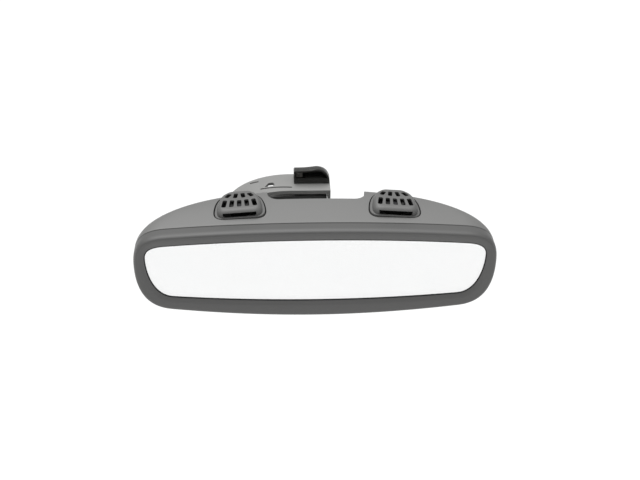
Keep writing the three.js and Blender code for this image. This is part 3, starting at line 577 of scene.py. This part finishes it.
grille_grey = moulded("grille grey", (0.17, 0.17, 0.167), (0.135, 0.135, 0.132), 0.5, depth=0.1)
for side, name in ((-1, "left"), (1, "right")):
    steps = [("DIFFERENCE", dome(POD["wall"]))]
    for row in SLOT_ROWS:
        steps += slot_cutters(row)
    mouth = block(
        (-MOUTH["half_width"], -20, MOUTH["low"]),
        (MOUTH["half_width"], MOUTH["back"], MOUTH["high"]),
    )
    ends = [
        e for e in mouth.edges
        if abs(e.verts[0].co.y - e.verts[1].co.y) > 1 and max(v.co.z for v in e.verts) < 1
    ]
    round_over(mouth, ends, MOUTH["corner"], 5)
    steps.append(("DIFFERENCE", mouth))
    shell = on_wing(carved(dome(0), steps), side)
    grille = finished(shell, f"grille_{name}", grille_grey, smooth=32)
    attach(grille, "head")
    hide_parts(f"mic_grille_{name}")

# ---------------------------------------------------------------- arm shell
# A C-shaped cover of the same grey ABS, hollow towards the driver, with a rolled lip along its
# front edge. Slits in its top free the snap hooks that hold it on the core.
ARM_FRONT = 70
ARM_BACK = 92
ARM = dict(x=-16, z=3.4, reach=48, up=26.6, down=20.2, upper_end=13.4, lower_end=10)
ARM_TOP = ARM["z"] + ARM["up"]
ARM_TAPER = 0.13
ARM_BAND = 13
ARM_RIM = 3.6
ARM_LIP = 3.2
LIP_DEPTH = 1.8
END_WALL = 1.8
ARM_STEPS = 26
SLIT_WIDTH = 1.4
SLITS = [dict(length=23, turn=-0.09, x=-26, y=75.6), dict(length=6.4, turn=-0.2, x=-42, y=88)]
SCREW_HOLE = 1.6
FOOT_SCREWS = [(-8, 84), (8, 84)]
LOWER_SCREW = (-14, 81)


def arm_curve(inset):
    """The arm's outline from the end under the foot round to the end at the ball stud."""
    steps = ARM_STEPS
    reach = ARM["reach"] - inset
    points = [Vector((ARM["upper_end"], ARM_TOP - inset))]
    for i in range(2 * steps + 1):
        angle = math.pi / 2 * (1 + i / steps)
        height = (ARM["up"] if i < steps else ARM["down"]) - inset
        points.append(Vector((
            ARM["x"] + reach * math.cos(angle),
            ARM["z"] + height * math.sin(angle),
        )))
    points.append(Vector((ARM["lower_end"], ARM["z"] - ARM["down"] + inset)))
    return points


def slab(points, front, back):
    """An outline in the plane of the glass, given thickness from front to back."""
    return swept([upright(points, y) for y in (front, back)])


def drafted(bm):
    """Lowers the front of an arm solid, as the draft of the moulding does."""
    for vert in bm.verts:
        ahead = (ARM_BACK - vert.co.y) / (ARM_BACK - ARM_FRONT)
        vert.co.z = ARM["z"] + (vert.co.z - ARM["z"]) * (1 - ARM_TAPER * ahead)
    return bm


def arm_band(outer, inner):
    """The band between two insets of the arm's outline."""
    inside = arm_curve(inner)
    inside.reverse()
    return arm_curve(outer) + inside


def arm_cavity(inset, front, back):
    """The hollow behind one inset of the outline, as far as the end walls."""
    points = []
    for point in arm_curve(inset):
        end = ARM["upper_end"] if point.y > ARM["z"] else ARM["lower_end"]
        points.append(Vector((min(point.x, end - END_WALL), point.y)))
    points.append(Vector((ARM["lower_end"] - END_WALL, ARM["z"])))
    points.append(Vector((ARM["upper_end"] - END_WALL, ARM["z"])))
    return drafted(slab(points, front, back))


def screw_hole(low, high, x, y):
    """The round hole for a screw, as a bar along Z between two heights."""
    bm = bmesh.new()
    sizes = dict(radius1=SCREW_HOLE, radius2=SCREW_HOLE, depth=high - low)
    bmesh.ops.create_cone(bm, cap_ends=True, segments=20, **sizes)
    bmesh.ops.translate(bm, vec=(x, y, (low + high) / 2), verts=bm.verts)
    return bm


def hook_window():
    """The wedge-shaped hole beside the slits."""
    outline = [Vector((-34.5, 78.2)), Vector((-27.5, 77.8))]
    outline += curve(((-27.5, 77.8), (-26.6, 80.3), (-28.5, 82.4)), 6)[1:]
    outline += [Vector((-28.5, 82.4)), Vector((-31.5, 82.6))]
    return swept([[(p.x, p.y, z) for p in outline] for z in (ARM["z"] + 12, ARM_TOP + 8)])


def slit(length, turn, x, y):
    """A narrow cut through the arm's top wall."""
    half = Vector((length / 2, SLIT_WIDTH / 2))
    bm = block((-half.x, -half.y, ARM["z"] + 12), (half.x, half.y, ARM_TOP + 8))
    bmesh.ops.rotate(bm, matrix=Matrix.Rotation(turn, 3, "Z"), verts=bm.verts)
    bmesh.ops.translate(bm, vec=(x, y, 0), verts=bm.verts)
    return bm


body = drafted(slab(arm_band(0, ARM_BAND), ARM_FRONT, ARM_BACK))
outside = {
    (round(p.x, 3), round(ARM["z"] + (p.y - ARM["z"]) * draft, 3))
    for p in arm_curve(0)
    for draft in (1, 1 - ARM_TAPER)
}
long_edges = [
    e for e in body.edges
    if abs(e.verts[0].co.y - e.verts[1].co.y) < 1e-6
    and all((round(v.co.x, 3), round(v.co.z, 3)) in outside for v in e.verts)
]
round_over(body, long_edges, 0.9, 4)
lip_back = ARM_FRONT + LIP_DEPTH
wall_back = ARM_BACK - WALL
steps = [
    ("DIFFERENCE", arm_cavity(ARM_LIP, ARM_FRONT - 1, lip_back)),
    ("DIFFERENCE", arm_cavity(WALL, lip_back - 0.1, wall_back)),
    ("DIFFERENCE", arm_cavity(ARM_RIM, wall_back - 0.1, ARM_BACK + 1)),
]
steps += [("DIFFERENCE", slit(**sizes)) for sizes in SLITS]
steps.append(("DIFFERENCE", hook_window()))
steps.append(("DIFFERENCE", screw_hole(-30, ARM["z"], *LOWER_SCREW)))
steps += [("DIFFERENCE", screw_hole(ARM["z"], ARM_TOP, *spot)) for spot in FOOT_SCREWS]
arm_grey = moulded("arm grey", (0.31, 0.31, 0.303), (0.265, 0.265, 0.258), 0.46, depth=0.1)
arm = finished(carved(body, steps), "arm", arm_grey, smooth=30)
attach(arm, "arm_and_foot")
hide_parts("arm_shell")

# ---------------------------------------------------------------- foot
# A dark glass-filled nylon hood that straddles the arm and is held by screws from below. It is
# open towards the driver; the bracket's tongue goes in there and rests on the raised pad.
FOOT = dict(
    half_width=13, front=79, back=89.5, floor=ARM_TOP + 2.2, top=ARM_TOP + 9.2,
    corner=9.2, wall=1.3,
)
FOOT_RAKE = 0.15
PAD = dict(low=(-4.5, 80, FOOT["floor"] - 0.3), high=(8.5, 87, FOOT["floor"] + 0.5))


def foot_outline(inset):
    """The foot as the driver sees it: square on the left and round on the right."""
    x = FOOT["half_width"] - inset
    top = FOOT["top"] - inset
    radius = FOOT["corner"] - inset
    points = [Vector((-x, ARM_TOP - 4)), Vector((-x, top - 1.9)), Vector((-x + 0.7, top - 1.2))]
    points += curve(((-x + 0.7, top - 1.2), (-1, top - 1.3), (1, top), (x - radius, top)), 8)[1:]
    for i in range(17):
        turn = math.pi / 2 * i / 16
        points.append(Vector((
            x - radius + radius * math.sin(turn),
            top - radius + radius * math.cos(turn),
        )))
    points.append(Vector((x, ARM_TOP - 4)))
    return points


def raked(bm):
    """Lets the roof fall towards the back while the base stays level."""
    for vert in bm.verts:
        share = max((vert.co.z - ARM_TOP) / (FOOT["top"] - ARM_TOP), 0)
        vert.co.z -= FOOT_RAKE * (vert.co.y - FOOT["front"]) * share
    return bm


hood = raked(slab(foot_outline(0), FOOT["front"], FOOT["back"]))
long_edges = [e for e in hood.edges if abs(e.verts[0].co.y - e.verts[1].co.y) < 1e-6]
round_over(hood, long_edges, 0.6, 3)
inside = raked(slab(foot_outline(FOOT["wall"]), FOOT["front"] - 2, FOOT["back"] - FOOT["wall"]))
pocket = carved(inside, [("DIFFERENCE", block((-20, 60, 0), (20, 110, FOOT["floor"])))])
saddle = drafted(slab(arm_band(-0.3, ARM_BAND), ARM_FRONT, ARM_BACK + 0.3))
steps = [
    ("DIFFERENCE", pocket),
    ("DIFFERENCE", saddle),
    ("UNION", block(PAD["low"], PAD["high"], 1)),
]
for spot in FOOT_SCREWS:
    steps.append(("DIFFERENCE", screw_hole(ARM["z"], FOOT["floor"] - 0.5, *spot)))
foot_black = moulded("foot nylon", (0.036, 0.036, 0.033), (0.022, 0.022, 0.02), 0.36, depth=0.1)
foot = finished(carved(hood, steps), "foot", foot_black, smooth=30)
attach(foot, "arm_and_foot")
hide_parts("foot_shoe")

# ---------------------------------------------------------------- ball joint and core
# The steel stud is bored for the wires and nutted into a die-cast core inside the arm. Its
# ball turns in a split nylon seat and a slit spring shell, held in a nylon socket by a ring.
IN_PLACE = dict(place=Matrix.Identity(4), weld=0.0000001)
SHARP = math.radians(32)


def softened(node, width):
    """A copy of a CAD piece, in metres, with its triangles joined up and sharp edges rounded."""
    bm = bmesh.new()
    bm.from_mesh(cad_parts[node].data)
    bmesh.ops.remove_doubles(bm, verts=bm.verts, dist=0.000001)
    bmesh.ops.dissolve_limit(bm, angle_limit=math.radians(0.5), verts=bm.verts, edges=bm.edges)
    if width:
        sharp = [e for e in bm.edges if e.is_manifold and e.calc_face_angle() > SHARP]
        round_over(bm, sharp, width, 2)
    return bm


def machined(name, colour, shade, gloss, lay=1.0):
    """Bright or dull metal with the fine scratches of turning, rolling or casting."""
    material, shader, start = blank(name, Metallic=1.0)
    place = start.node("ShaderNodeTexCoord", output="Object")
    drawn = start.node("ShaderNodeMapping", sockets={"Vector": place, "Scale": (lay, 8, 1)})
    scratch = noise(drawn, 900, 4)
    cloud = noise(place, 120, 3)
    tint = blended(cloud, shade, colour)
    rough = gloss + 0.2 * (scratch - 0.5) + 0.12 * (cloud - 0.5)
    sockets = {"Strength": 0.1, "Distance": 0.0001, "Height": scratch}
    relief = start.node("ShaderNodeBump", sockets=sockets)
    return surfaced(material, shader, Base_Color=tint, Roughness=rough, Normal=relief)


bright_steel = machined("bright steel", (0.62, 0.62, 0.6), (0.5, 0.5, 0.49), 0.3)
spring_steel = machined("spring steel", (0.22, 0.215, 0.2), (0.14, 0.135, 0.13), 0.4, lay=6)
cast_zinc = moulded(
    "blackened casting", (0.12, 0.12, 0.117), (0.07, 0.07, 0.068), 0.6, grain=0.7, depth=0.3
)
black_nylon = moulded("black nylon", (0.03, 0.03, 0.029), (0.02, 0.02, 0.02), 0.45)
white_nylon = moulded("natural nylon", (0.68, 0.66, 0.6), (0.6, 0.58, 0.52), 0.45, depth=0.06)
black_rubber = moulded("black rubber", (0.022, 0.022, 0.021), (0.014, 0.014, 0.014), 0.8, depth=0.2)
JOINT_PIECES = [
    ("arm_core", "arm_and_foot", cast_zinc, "black_cast", 0.0003),
    ("ball_stud", "arm_and_foot", bright_steel, "steel", 0.0002),
    ("stud_nut", "arm_and_foot", bright_steel, "steel", 0.0003),
    ("arm_screw", "arm_and_foot", bright_steel, "steel", 0.0001),
    ("foot_screw_1", "arm_and_foot", bright_steel, "steel", 0.0001),
    ("foot_screw_2", "arm_and_foot", bright_steel, "steel", 0.0001),
    ("foot_spring", "arm_and_foot", spring_steel, "spring_steel", 0.0001),
    ("arm_connector", "arm_and_foot", white_nylon, "white_nylon", 0.0002),
    ("arm_wires", "arm_and_foot", black_rubber, "rubber", 0),
    ("ball_seat", "ball_seat", white_nylon, "white_nylon", 0),
    ("spring_shell", "spring_shell", spring_steel, "spring_steel", 0),
    ("retaining_ring", "head", black_nylon, "black_nylon", 0.0002),
    ("ball_socket", "head", black_nylon, "black_nylon", 0.0002),
]
for node, body_name, finish, slot, width in JOINT_PIECES:
    copy = finished(softened(node, width), f"{node}_finished", finish, **IN_PLACE)
    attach(copy, body_name)
    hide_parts(node)

# ---------------------------------------------------------------- inside the head
# Behind the cell are its edge seal, two clip-on contact strips, a foam pad and the nylon
# carrier, then the circuit board with its glare sensor and plug, and the light pipe and lens
# that bring daylight from the back of the housing to the second sensor.
board_green = moulded("solder mask", (0.02, 0.12, 0.06), (0.015, 0.07, 0.035), 0.35, grain=1.2)
grey_foam = moulded(
    "grey foam", (0.06, 0.06, 0.064), (0.035, 0.035, 0.037), 0.95, grain=0.8, depth=0.5
)
dark_lens = moulded("dark lens", (0.012, 0.012, 0.014), (0.008, 0.008, 0.01), 0.12, depth=0.01)
clear_acrylic = glazed("clear acrylic", (0.9, 0.93, 0.94), Transmission_Weight=1.0, IOR=1.49)
HEAD_PIECES = [
    ("cell_seal", black_rubber, "white_nylon", 0),
    ("busbar_upper", spring_steel, "spring_steel", 0),
    ("busbar_lower", spring_steel, "spring_steel", 0),
    ("foam_pad", grey_foam, "foam", 0),
    ("carrier_plate", black_nylon, "black_nylon", 0.00015),
    ("circuit_board", board_green, "board_green", 0.0001),
    ("board_connector", white_nylon, "white_nylon", 0.0002),
    ("head_wires", black_rubber, "rubber", 0),
    ("glare_sensor", dark_lens, "dark_lens", 0.0002),
    ("ambient_sensor", dark_lens, "dark_lens", 0.0002),
    ("ambient_light_pipe", clear_acrylic, "clear_glass", 0.0002),
    ("ambient_lens", dark_lens, "dark_lens", 0.0002),
    ("mic_boot_left", black_rubber, "rubber", 0.0002),
    ("mic_boot_right", black_rubber, "rubber", 0.0002),
    ("mic_capsule_left", grey_foam, "steel", 0.0002),
    ("mic_capsule_right", grey_foam, "steel", 0.0002),
]
HEAD_PIECES += [(f"carrier_screw_{i}", bright_steel, "steel", 0.0001) for i in (1, 2, 3, 4)]
HEAD_PIECES += [(f"socket_screw_{i}", bright_steel, "steel", 0.0001) for i in (1, 2, 3)]
for node, finish, slot, width in HEAD_PIECES:
    copy = finished(softened(node, width), f"{node}_finished", finish, **IN_PLACE)
    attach(copy, "head")
    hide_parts(node)

# ---------------------------------------------------------------- studio
# A plain white floor well below the part, a pale surround, one broad light overhead and a
# long lens that looks down on the driver's side of the mirror. Sizes here are in metres.
FLOOR_HALF = 60
FLOOR_DROP = 0.3
floor_white, *_ = blank("floor white", Base_Color=(0.93, 0.93, 0.93, 1), Roughness=0.9)
bm = bmesh.new()
bmesh.ops.create_grid(bm, x_segments=1, y_segments=1, size=FLOOR_HALF)
floor_level = Matrix.Translation((0, 0, cad_box[0][2] - FLOOR_DROP))
floor = finished(bm, "floor", floor_white, place=floor_level)

surround = bpy.data.worlds.new("surround")
surround.use_nodes = True
surround.node_tree.nodes["Background"].inputs["Color"].default_value = (1, 1, 1, 1)
surround.node_tree.nodes["Background"].inputs["Strength"].default_value = 0.36
bpy.context.scene.world = surround
bpy.context.scene.view_settings.view_transform = "Standard"

overhead = bpy.data.lights.new("overhead", "SUN")
overhead.energy = 2.65
overhead.angle = math.radians(50)
overhead_lamp = bpy.data.objects.new("overhead", overhead)
overhead_lamp.rotation_euler = (math.radians(-12), math.radians(-8), 0)
bpy.context.collection.objects.link(overhead_lamp)

VIEW_HEIGHT = math.radians(28)
VIEW_SIDE = math.radians(2.9)
VIEW_ROLL = math.radians(0.62)
VIEW_DISTANCE = 0.9
away = Vector((
    -math.sin(VIEW_SIDE) * math.cos(VIEW_HEIGHT),
    -math.cos(VIEW_SIDE) * math.cos(VIEW_HEIGHT),
    math.sin(VIEW_HEIGHT),
))
level = (-away).cross(Vector((0, 0, 1))).normalized()
turned = Matrix((level, away.cross(level), away)).transposed().to_4x4()
lens = bpy.data.cameras.new("camera")
lens.lens = 73.5
lens.shift_x = 0.0059
lens.shift_y = 0.04375
camera = bpy.data.objects.new("camera", lens)
stand = Matrix.Translation(GLASS_MIDDLE + away * VIEW_DISTANCE)
camera.matrix_world = stand @ turned @ Matrix.Rotation(VIEW_ROLL, 4, "Z")
bpy.context.collection.objects.link(camera)
bpy.context.scene.camera = camera
